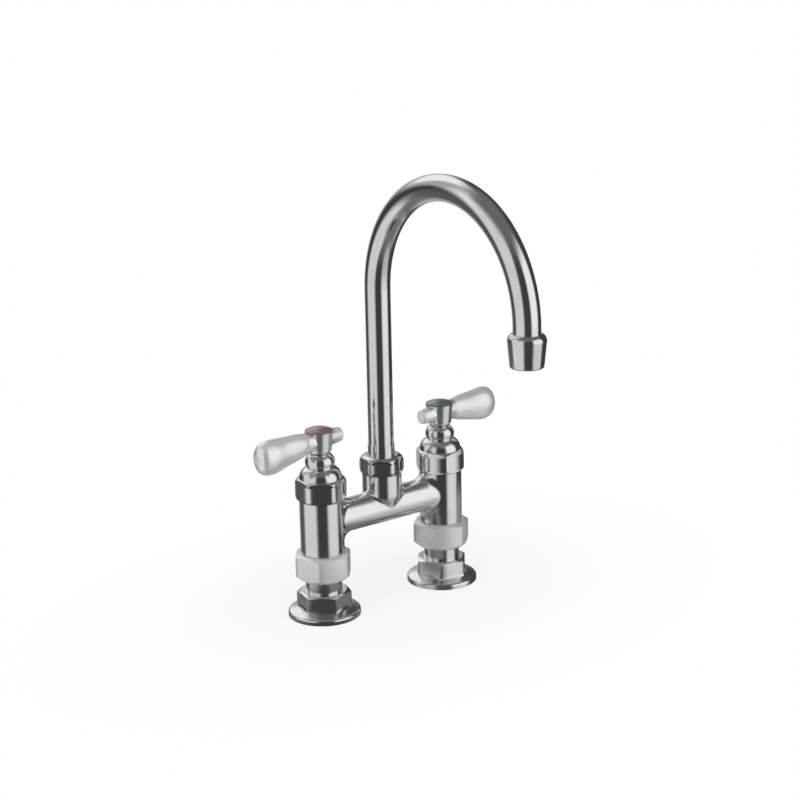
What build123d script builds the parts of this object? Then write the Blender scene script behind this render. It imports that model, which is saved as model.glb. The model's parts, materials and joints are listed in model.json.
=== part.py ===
"""Two-handle bridge mixer tap with a swivelling gooseneck, for a deck with two tap holes.

Millimetres. The origin lies on the deck, midway between the two inlets and on the swivel axis of the
spout. +Z is up, the spout points along -Y, the hot valve is at -X and the cold one at +X.
"""
from build123d import *
from math import cos, radians, sin, sqrt
import os

# Clearances
running_gap = 0.05
thread_gap = 0.05
braze_gap = 0.03
end_gap = 0.2

# Layout of the whole tap
inlet_centres = 101.6
spout_reach = 152.4
arm_height = 21.3
body_height = 37.1
boss_height = 24.3
riser_length = 115.5
drop_length = 11.8

# Swell of each polished hexagon flat at its middle
flat_crown = 0.45

# Inlet with its flange, hexagon and neck
flange_r = 24.8
flange_rim = 2.1
flange_round = 2.0
flange_rise = 1.3
flange_top_r = 17.6
inlet_hex = 32.4
inlet_hex_height = 11.9
inlet_land_r = 15.5
inlet_chamfer = 1.8
neck_r = 12.4
neck_land = 2.1
inlet_thread_r = 9.2
inlet_thread_depth = 15.0
waterway_r = 7.5

# Coupling nut, its snap ring and washer
nut_hex = 35.0
nut_height = 18.2
nut_lip = 4.0
nut_free_travel = 9.2
nut_land_r = 16.2
nut_low_chamfer = 3.4
nut_top_chamfer = 2.0
snap_ring_thick = 1.8
snap_ring_depth = 1.2
snap_ring_r = 13.6
snap_ring_mouth = 8.0
coupling_washer_thick = 2.5
coupling_washer_gap = 0.3

# Bridge body
body_r = 14.9
coupling_thread_r = 14.0
arm_r = 11.4
arm_blend = 8.0
arm_bore_r = 6.5
boss_r = 13.6
boss_blend = 3.0
boss_taper = 10.0
seat_height = 9.1
seat_land = 3.5
seat_port_r = 5.5
chamber_r = 10.2
bonnet_thread_r = 12.4
bonnet_thread_length = 12.0

# Bonnet
bonnet_hex = 30.0
band_height = 15.2
band_low_round = 3.2
band_top_round = 3.4
dome_r = 14.5
crease_r = 9.1
bead_r = 10.1
bead_height = 9.2
bead_belly = 3.1
crown_r = 6.4
crown_thick = 3.8
crown_gap = 0.2

# Cartridge
barrel_lift = 1.0
barrel_skirt_r = 9.2
barrel_bore_r = 8.1
barrel_land_length = 14.0
barrel_flange_thick = 2.5
barrel_flange_gap = 0.2
barrel_neck_r = 7.0
barrel_neck_height = 11.5
barrel_ring_wire = 0.7
barrel_ring_drop = 6.0
window_lift = 1.0
window_height = 6.5
window_width = 9.0
stop_rib_width = 6.2
stop_rib_r = 7.0
rib_gap = 0.1
seat_seal_thick = 3.0
seat_seal_gap = 0.1
fixed_disc_thick = 3.0
moving_disc_thick = 3.5
disc_port_inner_r = 2.2
disc_port_outer_r = 5.6
disc_port_angle = 76
port_turn = 90
slot_width = 3.0
slot_depth = 1.5
foot_width = 5.2
foot_height = 4.4
foot_gap = 0.2
thrust_washer_thick = 1.0
stem_r = 4.5
stem_ring_wire = 0.6
stem_ring_drops = (6.0, 10.0)
clip_thick = 0.9
clip_depth = 0.8
clip_r = 6.2
clip_mouth = 5.0
clip_room = 2.5
spline_r = 4.3
spline_depth = 0.45
spline_teeth = 16
spline_length = 7.5
spline_shoulder = 1.2

# Lever handle, its screw and its index cap
quarter_turn = 90
hot_lever_angle = 186.2
cold_lever_angle = 8.2
hub_lift = 0.6
hub_height = 14.7
hub_foot_r = 6.2
hub_waist_r = 8.3
hub_waist_height = 2.6
hub_top_r = 9.6
hub_web = 2.5
lever_length = 53.4
lever_end_steps = (0.5, 0.8, 0.95)
stub_length = 18.4
stub_level = 8.7
stub_root_high = 6.3
stub_tip_high = 4.8
stub_root_wide = 5.2
stub_tip_wide = 4.2
stub_round = 1.3
screw_r = 2.0
screw_length = 9.0
screw_head_r = 3.8
screw_head_height = 2.2
screw_head_chamfer = 0.5
screw_socket = 2.5
screw_socket_depth = 1.2
cap_seat_r = 8.2
cap_lip_r = 9.4
cap_skirt = 1.0
cap_wall = 1.0
cap_rim = 0.8
cap_crown = 2.2

# Sections of a lever: distance from the hub's axis, height above the hub's foot, half width, half height
lever_sections = (
    (5.0, 8.4, 6.0, 6.2),
    (15.0, 8.15, 6.3, 7.9),
    (26.0, 7.25, 7.1, 9.7),
    (36.0, 6.35, 7.9, 11.1),
    (46.0, 6.05, 8.3, 11.5),
)

# Spout
tube_r = 8.7
tube_wall = 1.2
shank_r = 8.4
shank_wall = 2.4
shank_length = 22.0
ferrule_flange_r = 10.6
ferrule_flange_thick = 2.8
sleeve_wall = 0.5
sleeve_height = 9.4
tube_socket = 7.4
glide_washer_thick = 1.0
glide_washer_gap = 0.1
spout_ring_wire = 0.7
spout_ring_drops = (10.0, 17.0)
spout_thread_r = 11.4
spout_thread_length = 7.0
spout_nut_hex = 26.4
spout_nut_lip = 1.8
spout_nut_land_r = 9.9
spout_nut_top_round = 4.7
spout_nut_low_round = 3.4

# Outlet at the end of the spout
outlet_top_r = 12.2
outlet_low_r = 10.7
outlet_mouth_r = 10.0
outlet_land_r = 9.4
outlet_shoulder = 4.2
outlet_edge = 1.2
outlet_socket = 8.8
outlet_bore_r = 9.6
outlet_bore_depth = 12.1
outlet_web = 1.0
outlet_recess = 0.5
outlet_washer_thick = 1.5
outlet_washer_wall = 2.2
outlet_shell_wall = 0.8
outlet_shell_lip = 0.9
straightener_web = 2.0
straightener_wall = 0.9
straightener_hole_r = 0.8
straightener_rings = ((2.9, 6), (5.7, 12))

# Direction of one corner of each hexagon, as the spanner left it
hot_inlet_turn = 21
cold_inlet_turn = 50
hot_nut_turn = 49
cold_nut_turn = 39
hot_bonnet_turn = 26
cold_bonnet_turn = 7
spout_nut_turn = 24

# Levels of the body, from the deck upwards
flange_edge_z = flange_rim + flange_round
flange_top_z = flange_edge_z + flange_rise
inlet_top_z = flange_top_z + inlet_hex_height
nut_low_z = inlet_top_z + nut_free_travel
lip_top_z = nut_low_z + nut_lip
snap_ring_top_z = lip_top_z + snap_ring_thick
neck_top_z = snap_ring_top_z + neck_land
coupling_z = neck_top_z + coupling_washer_thick
nut_top_z = nut_low_z + nut_height
body_low_z = nut_top_z + end_gap
arm_z = body_low_z + arm_height
body_top_z = body_low_z + body_height
seat_z = body_low_z + seat_height
chamber_top_z = body_top_z + bonnet_thread_length
boss_top_z = arm_z + boss_height

# Levels of each valve, from its seat upwards
fixed_disc_z = seat_z + seat_seal_thick
moving_disc_z = fixed_disc_z + fixed_disc_thick
foot_z = moving_disc_z + moving_disc_thick
foot_top_z = foot_z + foot_height
barrel_shoulder_z = foot_top_z + running_gap + thrust_washer_thick
bonnet_seat_z = chamber_top_z + barrel_flange_thick
barrel_top_z = bonnet_seat_z + barrel_neck_height
clip_z = barrel_top_z + running_gap
crown_z = barrel_top_z + clip_room
bonnet_top_z = crown_z + crown_thick
hub_low_z = bonnet_top_z + hub_lift
hub_top_z = hub_low_z + hub_height
spline_z = hub_low_z + spline_shoulder
stem_top_z = spline_z + spline_length
web_top_z = stem_top_z + end_gap + hub_web

# Levels of the spout, from the boss upwards and round to the outlet
spout_seat_z = boss_top_z + spout_thread_length
ferrule_z = spout_seat_z + glide_washer_thick
ferrule_flange_z = ferrule_z + ferrule_flange_thick
spout_nut_top_z = ferrule_flange_z + running_gap + spout_nut_lip
shank_low_z = ferrule_z - shank_length
sleeve_top_z = ferrule_flange_z + sleeve_height
tube_low_z = sleeve_top_z - tube_socket
spring_z = tube_low_z + riser_length
tube_end_z = spring_z - drop_length
outlet_top_z = tube_end_z + outlet_socket
outlet_low_z = tube_end_z - outlet_bore_depth
outlet_washer_z = tube_end_z - outlet_web - outlet_washer_thick
shell_low_z = outlet_low_z + outlet_recess
straightener_z = shell_low_z + outlet_shell_lip

full_turn = 360
valve_x = inlet_centres / 2
barrel_land_r = chamber_r - running_gap
standing = (Align.CENTER, Align.CENTER, Align.MIN)


def upright(x, y=0):
    """The vertical plane through a turning axis: sketch x is the radius, sketch y the height."""
    return Plane(origin=(x, y, 0), x_dir=(1, 0, 0), z_dir=(0, -1, 0))


def turning_axis(x, y=0):
    return Axis((x, y, 0), (0, 0, 1))


def across(x, angle, distance, height):
    """The plane square to an arm that leaves the valve axis at this angle."""
    turn = radians(angle)
    return Plane(
        origin=(x + distance * cos(turn), distance * sin(turn), height),
        x_dir=(-sin(turn), cos(turn), 0),
        z_dir=(cos(turn), sin(turn), 0),
    )


def polar(x, radius, angle):
    """The point at this distance and direction from a vertical axis through x."""
    return (x + radius * cos(radians(angle)), radius * sin(radians(angle)))


def flat_ring(x, low, high, outer, inner, mouth=0, y=0):
    """A washer, or with a mouth an open snap ring."""
    with BuildPart() as ring:
        with BuildSketch(Plane.XY.offset(low)):
            with Locations((x, y)):
                Circle(outer)
                Circle(inner, mode=Mode.SUBTRACT)
            if mouth:
                with Locations((x, y - outer)):
                    Rectangle(mouth, outer, mode=Mode.SUBTRACT)
        extrude(amount=high - low)
    return ring.part


def o_rings(x, levels, groove_r, wire):
    """O-rings on one axis, each squeezed to an octagon in its groove; wire is half its height."""
    with BuildPart() as rings:
        with BuildSketch(upright(x)):
            with Locations(*[(groove_r + wire, level) for level in levels]):
                RegularPolygon(wire, 8, major_radius=False, rotation=22.5)
        revolve(axis=turning_axis(x))
    return rings.part


def ring_groove(x, level, outer, wire):
    """The ring of metal that the square groove of an O-ring takes away."""
    return flat_ring(x, level - wire, level + wire, outer, outer - 2 * wire)


def hexagon(x, low, height, flats, turn):
    """Hexagonal bar with crowned flats and one corner in the direction of turn."""
    corner_r = flats / sqrt(3)
    middle_r = flats / 2 + flat_crown
    with BuildPart() as bar:
        with BuildSketch(Plane.XY.offset(low)):
            with BuildLine():
                for corner in range(0, full_turn, full_turn // 6):
                    ThreePointArc(
                        polar(x, corner_r, turn + corner),
                        polar(x, middle_r, turn + corner + full_turn / 12),
                        polar(x, corner_r, turn + corner + full_turn / 6),
                    )
            make_face()
        extrude(amount=height)
    return bar.part


def chamfered_bar(x, low, high, flats, turn, land_r, low_cone, top_cone):
    """Hexagonal bar with each end turned to a cone of the given height round a flat land."""
    corner_r = flats / sqrt(3)
    bar = hexagon(x, low, high - low, flats, turn)
    with BuildPart() as blank:
        add(bar)
        with BuildSketch(upright(x)):
            with BuildLine():
                Polyline(
                    (0, low),
                    (land_r, low),
                    (corner_r, low + low_cone),
                    (corner_r, high - top_cone),
                    (land_r, high),
                    (0, high),
                    close=True,
                )
            make_face()
        revolve(axis=turning_axis(x), mode=Mode.INTERSECT)
    return blank.part


def inlet_flange(x, turn):
    """Flange, hexagon and neck in one turning, with the supply thread in its underside."""
    bar = chamfered_bar(
        x, 0, inlet_top_z, inlet_hex, turn, inlet_land_r, flange_rim, inlet_chamfer
    )
    ring_seat = flat_ring(
        x, lip_top_z - end_gap, snap_ring_top_z, neck_r, neck_r - snap_ring_depth
    )
    with BuildPart() as inlet:
        add(bar)
        with BuildSketch(upright(x)):
            with BuildLine():
                rim_arc = TangentArc(
                    (flange_r, flange_rim), (flange_r - flange_round, flange_edge_z), tangent=(0, 1)
                )
                Polyline(
                    rim_arc @ 1,
                    (flange_top_r, flange_top_z),
                    (0, flange_top_z),
                    (0, 0),
                    (flange_r, 0),
                    rim_arc @ 0,
                )
            make_face()
        revolve(axis=turning_axis(x))
        with Locations((x, 0, 0)):
            Cylinder(neck_r, neck_top_z, align=standing)
        add(ring_seat, mode=Mode.SUBTRACT)
        with Locations((x, 0, 0)):
            Cylinder(waterway_r, neck_top_z, align=standing, mode=Mode.SUBTRACT)
            Cylinder(inlet_thread_r, inlet_thread_depth, align=standing, mode=Mode.SUBTRACT)
    return inlet.part


def coupling_nut(x, turn):
    """Union nut: a hexagon chamfered at both ends, threaded above an inward lip."""
    bar = chamfered_bar(
        x, nut_low_z, nut_top_z, nut_hex, turn, nut_land_r, nut_low_chamfer, nut_top_chamfer
    )
    with BuildPart() as nut:
        add(bar)
        with Locations((x, 0, nut_low_z)):
            Cylinder(neck_r + running_gap, nut_lip, align=standing, mode=Mode.SUBTRACT)
        with Locations((x, 0, lip_top_z)):
            Cylinder(
                coupling_thread_r + thread_gap, nut_top_z - lip_top_z, align=standing, mode=Mode.SUBTRACT
            )
    return nut.part


def valve_bonnet(x, turn):
    """Domed cap from hexagonal bar: a band is left as a hexagon and the rest is turned."""
    corner_r = bonnet_hex / sqrt(3)
    low_z = body_top_z + end_gap
    band_top_z = low_z + band_height
    crease_z = bonnet_top_z - bead_height
    bar = hexagon(x, low_z, bonnet_top_z - low_z, bonnet_hex, turn)
    with BuildPart() as bonnet:
        add(bar)
        with BuildSketch(upright(x)):
            with BuildLine():
                low_arc = TangentArc(
                    (corner_r, low_z + band_low_round), (body_r, low_z), tangent=(0, -1)
                )
                band_arc = TangentArc(
                    (corner_r, band_top_z - band_top_round), (dome_r, band_top_z), tangent=(0, 1)
                )
                Line(low_arc @ 0, band_arc @ 0)
                TangentArc((dome_r, band_top_z), (crease_r, crease_z), tangent=(0, 1))
                bead = ThreePointArc(
                    (crease_r, crease_z), (bead_r, crease_z + bead_belly), (crown_r, bonnet_top_z)
                )
                Polyline(bead @ 1, (0, bonnet_top_z), (0, low_z), low_arc @ 1)
            make_face()
        revolve(axis=turning_axis(x), mode=Mode.INTERSECT)
        with Locations((x, 0, low_z)):
            Cylinder(
                bonnet_thread_r + thread_gap, bonnet_seat_z - low_z, align=standing, mode=Mode.SUBTRACT
            )
            Cylinder(barrel_neck_r + running_gap, crown_z - low_z, align=standing, mode=Mode.SUBTRACT)
            Cylinder(stem_r + crown_gap, bonnet_top_z - low_z, align=standing, mode=Mode.SUBTRACT)
    return bonnet.part


def cartridge_barrel(x):
    """Brass barrel: ported skirt with stop ribs, sealing land, clamped flange and stem guide."""
    low_z = seat_z + barrel_lift
    ring_seat = ring_groove(x, chamber_top_z - barrel_ring_drop, barrel_land_r, barrel_ring_wire)
    with BuildPart() as barrel:
        with Locations((x, 0, low_z)):
            Cylinder(barrel_skirt_r, bonnet_seat_z - low_z, align=standing)
        with Locations((x, 0, chamber_top_z - barrel_land_length)):
            Cylinder(barrel_land_r, barrel_land_length, align=standing)
        with Locations((x, 0, chamber_top_z)):
            Cylinder(bonnet_thread_r - barrel_flange_gap, barrel_flange_thick, align=standing)
        with Locations((x, 0, bonnet_seat_z)):
            Cylinder(barrel_neck_r, barrel_neck_height, align=standing)
        add(ring_seat, mode=Mode.SUBTRACT)
        with Locations((x, 0, low_z)):
            Cylinder(barrel_bore_r, barrel_shoulder_z - low_z, align=standing, mode=Mode.SUBTRACT)
            Cylinder(stem_r + running_gap, barrel_top_z - low_z, align=standing, mode=Mode.SUBTRACT)
        with Locations((x, 0, moving_disc_z + window_lift)):
            Box(2 * barrel_skirt_r, window_width, window_height, align=standing, mode=Mode.SUBTRACT)
        with BuildSketch(Plane.XY.offset(fixed_disc_z)):
            with Locations((x, 0)):
                Circle((barrel_bore_r + barrel_skirt_r) / 2)
                Rectangle(stop_rib_width, 2 * barrel_skirt_r, mode=Mode.INTERSECT)
                Rectangle(stop_rib_width, 2 * stop_rib_r, mode=Mode.SUBTRACT)
        extrude(amount=foot_top_z - fixed_disc_z)
    return barrel.part


def disc_ports(x, level, angle):
    """The two opposed sector openings of a ceramic disc."""
    with BuildSketch(Plane.XY.offset(level)) as ports:
        for end in (angle, angle + 180):
            with BuildLine():
                wide = CenterArc((x, 0), disc_port_outer_r, end - disc_port_angle / 2, disc_port_angle)
                narrow = CenterArc((x, 0), disc_port_inner_r, end - disc_port_angle / 2, disc_port_angle)
                Line(wide @ 0, narrow @ 0)
                Line(wide @ 1, narrow @ 1)
            make_face()
    return ports.sketch


def fixed_disc(x, ports_at):
    """Ceramic disc keyed on the barrel's stop ribs."""
    key_r = stop_rib_r - rib_gap
    key_depth = barrel_bore_r - key_r
    ports = disc_ports(x, fixed_disc_z, ports_at)
    with BuildPart() as disc:
        with BuildSketch(Plane.XY.offset(fixed_disc_z)):
            with Locations((x, 0)):
                Circle(barrel_bore_r - running_gap)
            with Locations((x, key_r + key_depth / 2), (x, -key_r - key_depth / 2)):
                Rectangle(stop_rib_width + 2 * rib_gap, key_depth, mode=Mode.SUBTRACT)
        extrude(amount=fixed_disc_thick)
        extrude(ports, amount=fixed_disc_thick, mode=Mode.SUBTRACT)
    return disc.part


def moving_disc(x, slot_at):
    """Ceramic disc that turns with the stem, with its ports square to the driving slot."""
    ports = disc_ports(x, moving_disc_z, slot_at + port_turn)
    with BuildPart() as disc:
        with Locations((x, 0, moving_disc_z)):
            Cylinder(stop_rib_r - rib_gap, moving_disc_thick, align=standing)
        extrude(ports, amount=moving_disc_thick, mode=Mode.SUBTRACT)
        with BuildSketch(Plane.XY.offset(foot_z - slot_depth)):
            with Locations((x, 0)):
                Rectangle(2 * barrel_bore_r, slot_width, rotation=slot_at)
        extrude(amount=slot_depth, mode=Mode.SUBTRACT)
    return disc.part


def spline_outline(x, level, clearance):
    """Toothed outline of the stem's top, widened by the clearance for the handle's socket."""
    tip_r = spline_r + clearance
    root_r = spline_r - spline_depth + clearance
    step = full_turn / spline_teeth
    points = []
    for tooth in range(spline_teeth):
        points.append(polar(x, tip_r, tooth * step))
        points.append(polar(x, root_r, (tooth + 0.5) * step))
    with BuildSketch(Plane.XY.offset(level)) as outline:
        with BuildLine():
            Polyline(*points, close=True)
        make_face()
    return outline.sketch


def cartridge_stem(x, foot_at):
    """Stem: a tang and a foot that drive the moving disc, a shaft with two O-rings and a spline."""
    foot_r = barrel_bore_r - foot_gap
    spline = spline_outline(x, spline_z, 0)
    ring_seats = [ring_groove(x, barrel_top_z - drop, stem_r, stem_ring_wire) for drop in stem_ring_drops]
    clip_seat = flat_ring(x, clip_z, clip_z + clip_thick, stem_r, stem_r - clip_depth)
    with BuildPart() as stem:
        with BuildSketch(Plane.XY.offset(foot_z)):
            with Locations((x, 0)):
                Circle(foot_r)
                Rectangle(2 * foot_r, foot_width, rotation=foot_at, mode=Mode.INTERSECT)
        extrude(amount=foot_height)
        with BuildSketch(Plane.XY.offset(foot_z)):
            with Locations((x, 0)):
                Circle(stop_rib_r - 2 * rib_gap)
                Rectangle(
                    2 * foot_r, slot_width - 2 * running_gap, rotation=foot_at, mode=Mode.INTERSECT
                )
        extrude(amount=-(slot_depth - running_gap))
        with Locations((x, 0, foot_z)):
            Cylinder(stem_r, spline_z - foot_z, align=standing)
        extrude(spline, amount=spline_length)
        add(ring_seats, mode=Mode.SUBTRACT)
        add(clip_seat, mode=Mode.SUBTRACT)
        with Locations((x, 0, web_top_z - screw_length - end_gap)):
            Cylinder(screw_r + thread_gap, screw_length, align=standing, mode=Mode.SUBTRACT)
    return stem.part


def lever_handle(x, angle):
    """Hub, paddle and stub in one casting; the paddle is a loft of upright ellipses."""
    wide_at, middle, half_wide, half_high = lever_sections[-1]
    end_length = lever_length - wide_at
    sections = list(lever_sections)
    for step in lever_end_steps:
        shrink = sqrt(1 - step * step)
        sections.append((wide_at + step * end_length, middle, half_wide * shrink, half_high * shrink))
    socket = spline_outline(x, spline_z, running_gap)
    stub_end = across(x, angle + 180, stub_length, hub_low_z + stub_level)
    with BuildPart() as handle:
        for distance, height, wide, high in sections:
            with BuildSketch(across(x, angle, distance, hub_low_z + height)):
                Ellipse(wide, high)
        loft()
        with BuildSketch(across(x, angle + 180, lever_sections[0][0], hub_low_z + stub_level)):
            Ellipse(stub_root_wide, stub_root_high)
        with BuildSketch(stub_end):
            Ellipse(stub_tip_wide, stub_tip_high)
        loft()
        fillet(handle.faces().sort_by_distance(stub_end.origin)[0].edges(), stub_round)
        with BuildSketch(upright(x)):
            with BuildLine():
                waist = TangentArc(
                    (hub_waist_r, hub_low_z + hub_waist_height), (hub_foot_r, hub_low_z), tangent=(0, -1)
                )
                Polyline(waist @ 1, (0, hub_low_z), (0, hub_top_z), (hub_top_r, hub_top_z), waist @ 0)
            make_face()
        revolve(axis=turning_axis(x))
        with Locations((x, 0, hub_low_z)):
            Cylinder(stem_r + crown_gap, spline_shoulder, align=standing, mode=Mode.SUBTRACT)
            Cylinder(screw_r + end_gap, hub_height, align=standing, mode=Mode.SUBTRACT)
        extrude(socket, amount=spline_length + end_gap, mode=Mode.SUBTRACT)
        with Locations((x, 0, web_top_z)):
            Cylinder(cap_seat_r, hub_height, align=standing, mode=Mode.SUBTRACT)
        with Locations((x, 0, hub_top_z)):
            Cylinder(cap_lip_r + running_gap, hub_height, align=standing, mode=Mode.SUBTRACT)
    return handle.part


def handle_screw(x):
    """Pan-head screw with a hexagon socket, from the hub's web into the stem."""
    with BuildPart() as screw:
        with Locations((x, 0, web_top_z - screw_length)):
            Cylinder(screw_r, screw_length, align=standing)
        with Locations((x, 0, web_top_z)):
            Cylinder(screw_head_r, screw_head_height, align=standing)
        chamfer(screw.faces().sort_by(Axis.Z)[-1].edges(), screw_head_chamfer)
        with BuildSketch(Plane.XY.offset(web_top_z + screw_head_height)):
            with Locations((x, 0)):
                RegularPolygon(screw_socket / 2, 6, major_radius=False)
        extrude(amount=-screw_socket_depth, mode=Mode.SUBTRACT)
    return screw.part


def index_cap(x):
    """Domed button with a thin skirt that presses into the hub."""
    skirt_r = cap_seat_r - running_gap
    with BuildPart() as cap:
        with BuildSketch(upright(x)):
            with BuildLine():
                crown = TangentArc(
                    (0, hub_top_z + cap_rim + cap_crown), (cap_lip_r, hub_top_z + cap_rim), tangent=(1, 0)
                )
                Polyline(
                    crown @ 0,
                    (0, hub_top_z),
                    (skirt_r - cap_wall, hub_top_z),
                    (skirt_r - cap_wall, hub_top_z - cap_skirt),
                    (skirt_r, hub_top_z - cap_skirt),
                    (skirt_r, hub_top_z),
                    (cap_lip_r, hub_top_z),
                    crown @ 1,
                )
            make_face()
        revolve(axis=turning_axis(x))
    return cap.part


# Bridge body: one casting with both valve bodies, the arm and the spout boss
with BuildPart() as bridge_body:
    with Locations((-valve_x, 0, body_low_z - arm_blend), (valve_x, 0, body_low_z - arm_blend)):
        Cylinder(body_r, body_height + 2 * arm_blend, align=standing)
    with Locations((0, 0, arm_z)):
        Cylinder(arm_r, inlet_centres, rotation=(0, 90, 0))
    fillet(bridge_body.edges(Select.NEW), arm_blend)
    split(bisect_by=Plane.XY.offset(body_low_z), keep=Keep.TOP)
    split(bisect_by=Plane.XY.offset(body_top_z), keep=Keep.BOTTOM)
    with BuildSketch(upright(0)):
        with BuildLine():
            underside = CenterArc((0, arm_z), arm_r, -90, 90)
            flare = Spline(underside @ 1, (boss_r, arm_z + boss_taper), tangents=[(0, 1), (0, 1)])
            Polyline(flare @ 1, (boss_r, boss_top_z), (0, boss_top_z), underside @ 0)
        make_face()
    revolve(axis=Axis.Z)
    fillet(bridge_body.edges(Select.NEW), boss_blend)
    with Locations((-valve_x, 0, coupling_z), (valve_x, 0, coupling_z)):
        Cylinder(coupling_thread_r, body_low_z - coupling_z, align=standing)
    with Locations((-valve_x, 0, body_top_z), (valve_x, 0, body_top_z)):
        Cylinder(bonnet_thread_r, bonnet_thread_length, align=standing)
    with Locations((0, 0, boss_top_z)):
        Cylinder(spout_thread_r, spout_thread_length, align=standing)
    with Locations((-valve_x, 0, coupling_z), (valve_x, 0, coupling_z)):
        Cylinder(seat_port_r, seat_z - coupling_z, align=standing, mode=Mode.SUBTRACT)
        Cylinder(waterway_r, seat_z - seat_land - coupling_z, align=standing, mode=Mode.SUBTRACT)
    with Locations((-valve_x, 0, seat_z), (valve_x, 0, seat_z)):
        Cylinder(chamber_r, chamber_top_z - seat_z, align=standing, mode=Mode.SUBTRACT)
    with Locations((0, 0, arm_z)):
        Cylinder(arm_bore_r, inlet_centres, rotation=(0, 90, 0), mode=Mode.SUBTRACT)
        Cylinder(arm_bore_r, spout_seat_z - arm_z, align=standing, mode=Mode.SUBTRACT)
    with Locations((0, 0, shank_low_z - glide_washer_thick)):
        Cylinder(shank_r + running_gap, shank_length, align=standing, mode=Mode.SUBTRACT)
bridge_body.part.label = "bridge_body"

# Spout ferrule: shank in the boss, flange under the nut and sleeve round the tube
spout_ring_seats = [
    ring_groove(0, ferrule_z - drop, shank_r, spout_ring_wire) for drop in spout_ring_drops
]
with BuildPart() as spout_ferrule:
    with Locations((0, 0, shank_low_z)):
        Cylinder(shank_r, shank_length, align=standing)
    with Locations((0, 0, ferrule_z)):
        Cylinder(ferrule_flange_r, ferrule_flange_thick, align=standing)
    with Locations((0, 0, ferrule_flange_z)):
        Cylinder(tube_r + sleeve_wall, sleeve_height, align=standing)
    with Locations((0, 0, tube_low_z)):
        Cylinder(tube_r + braze_gap, tube_socket, align=standing, mode=Mode.SUBTRACT)
    with Locations((0, 0, shank_low_z)):
        Cylinder(shank_r - shank_wall, tube_low_z - shank_low_z, align=standing, mode=Mode.SUBTRACT)
    add(spout_ring_seats, mode=Mode.SUBTRACT)
spout_ferrule.part.label = "spout_ferrule"

# Gooseneck: straight riser, half-circle arch and a short drop
with BuildPart() as gooseneck:
    with BuildLine(Plane.YZ):
        Line((0, tube_low_z), (0, spring_z))
        arch = CenterArc((-spout_reach / 2, spring_z), spout_reach / 2, 0, 180)
        Line(arch @ 1, (-spout_reach, tube_end_z))
    with BuildSketch(Plane.XY.offset(tube_low_z)):
        Circle(tube_r)
        Circle(tube_r - tube_wall, mode=Mode.SUBTRACT)
    sweep()
gooseneck.part.label = "gooseneck"

# Spout nut: small hexagon with a rounded top that holds the ferrule down
nut_z = boss_top_z + end_gap
corner_r = spout_nut_hex / sqrt(3)
nut_bar = hexagon(0, nut_z, spout_nut_top_z - nut_z, spout_nut_hex, spout_nut_turn)
with BuildPart() as spout_nut:
    add(nut_bar)
    with BuildSketch(upright(0)):
        with BuildLine():
            top_arc = TangentArc(
                (corner_r, spout_nut_top_z - spout_nut_top_round),
                (spout_nut_land_r, spout_nut_top_z),
                tangent=(0, 1),
            )
            low_arc = TangentArc(
                (corner_r, nut_z + spout_nut_low_round), (boss_r, nut_z), tangent=(0, -1)
            )
            Line(top_arc @ 0, low_arc @ 0)
            Polyline(top_arc @ 1, (0, spout_nut_top_z), (0, nut_z), low_arc @ 1)
        make_face()
    revolve(axis=Axis.Z, mode=Mode.INTERSECT)
    with Locations((0, 0, nut_z)):
        Cylinder(
            spout_thread_r + thread_gap,
            ferrule_flange_z + running_gap - nut_z,
            align=standing,
            mode=Mode.SUBTRACT,
        )
        Cylinder(
            tube_r + sleeve_wall + 2 * running_gap,
            spout_nut_top_z - nut_z,
            align=standing,
            mode=Mode.SUBTRACT,
        )
spout_nut.part.label = "spout_nut"

# Outlet housing: tapered sleeve brazed on the end of the tube
with BuildPart() as outlet_housing:
    with BuildSketch(upright(0, -spout_reach)):
        with BuildLine():
            shoulder = TangentArc(
                (outlet_top_r, outlet_top_z - outlet_shoulder),
                (outlet_land_r, outlet_top_z),
                tangent=(0, 1),
            )
            edge = TangentArc(
                (outlet_low_r, outlet_low_z + outlet_edge),
                (outlet_mouth_r, outlet_low_z),
                tangent=(0, -1),
            )
            Line(shoulder @ 0, edge @ 0)
            Polyline(shoulder @ 1, (0, outlet_top_z), (0, outlet_low_z), edge @ 1)
        make_face()
    revolve(axis=turning_axis(0, -spout_reach))
    with Locations((0, -spout_reach, outlet_low_z)):
        Cylinder(outlet_bore_r, outlet_bore_depth - outlet_web, align=standing, mode=Mode.SUBTRACT)
        Cylinder(tube_r - tube_wall, outlet_bore_depth, align=standing, mode=Mode.SUBTRACT)
    with Locations((0, -spout_reach, tube_end_z)):
        Cylinder(tube_r + braze_gap, outlet_socket, align=standing, mode=Mode.SUBTRACT)
outlet_housing.part.label = "outlet_housing"

# Outlet shell: threaded ring that carries the flow straightener
shell_r = outlet_bore_r - thread_gap
shell_bore_r = shell_r - outlet_shell_wall
with BuildPart() as outlet_shell:
    with Locations((0, -spout_reach, shell_low_z)):
        Cylinder(shell_r, outlet_washer_z - shell_low_z, align=standing)
        Cylinder(shell_bore_r - outlet_shell_lip, outlet_shell_lip, align=standing, mode=Mode.SUBTRACT)
    with Locations((0, -spout_reach, straightener_z)):
        Cylinder(shell_bore_r, outlet_washer_z - straightener_z, align=standing, mode=Mode.SUBTRACT)
outlet_shell.part.label = "outlet_shell"

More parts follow.
